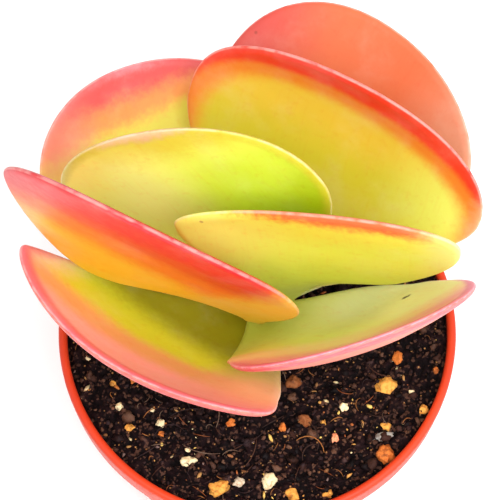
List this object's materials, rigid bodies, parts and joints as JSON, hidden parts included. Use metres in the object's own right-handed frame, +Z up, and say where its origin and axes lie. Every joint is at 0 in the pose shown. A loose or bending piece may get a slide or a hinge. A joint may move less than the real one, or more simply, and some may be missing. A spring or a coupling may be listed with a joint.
{
  "type": "potted succulent",
  "caption": "Potted paddle plant: thick round leaves in crossed pairs on a short stem, flushed yellow to coral red, in gritty soil in a plastic nursery pot.",
  "frame": {"origin": "centre of the pot's underside, in the plane that it stands on", "axes": "+Z up along the pot's axis; -Y towards the side that the picture was taken from, +X to its right"},
  "size_m": [0.1168, 0.1364, 0.1883],
  "materials": {
    "pot_plastic": "satin",
    "soil": "matte",
    "stem_flesh": "matte",
    "leaf_front_left": "satin",
    "leaf_far_back": "satin",
    "leaf_front_right": "satin",
    "leaf_back_left": "satin",
    "leaf_mid_front": "satin",
    "leaf_mid_back": "satin",
    "leaf_inner_front": "satin",
    "leaf_inner_back": "satin"
  },
  "bodies": {
    "root": {"pot": "pot_plastic", "soil": "soil", "stem": "stem_flesh", "leaf_front_left": "leaf_front_left", "leaf_far_back": "leaf_far_back", "leaf_front_right": "leaf_front_right", "leaf_back_left": "leaf_back_left", "leaf_mid_front": "leaf_mid_front", "leaf_mid_back": "leaf_mid_back", "leaf_inner_front": "leaf_inner_front", "leaf_inner_back": "leaf_inner_back"}
  },
  "joints": []
}
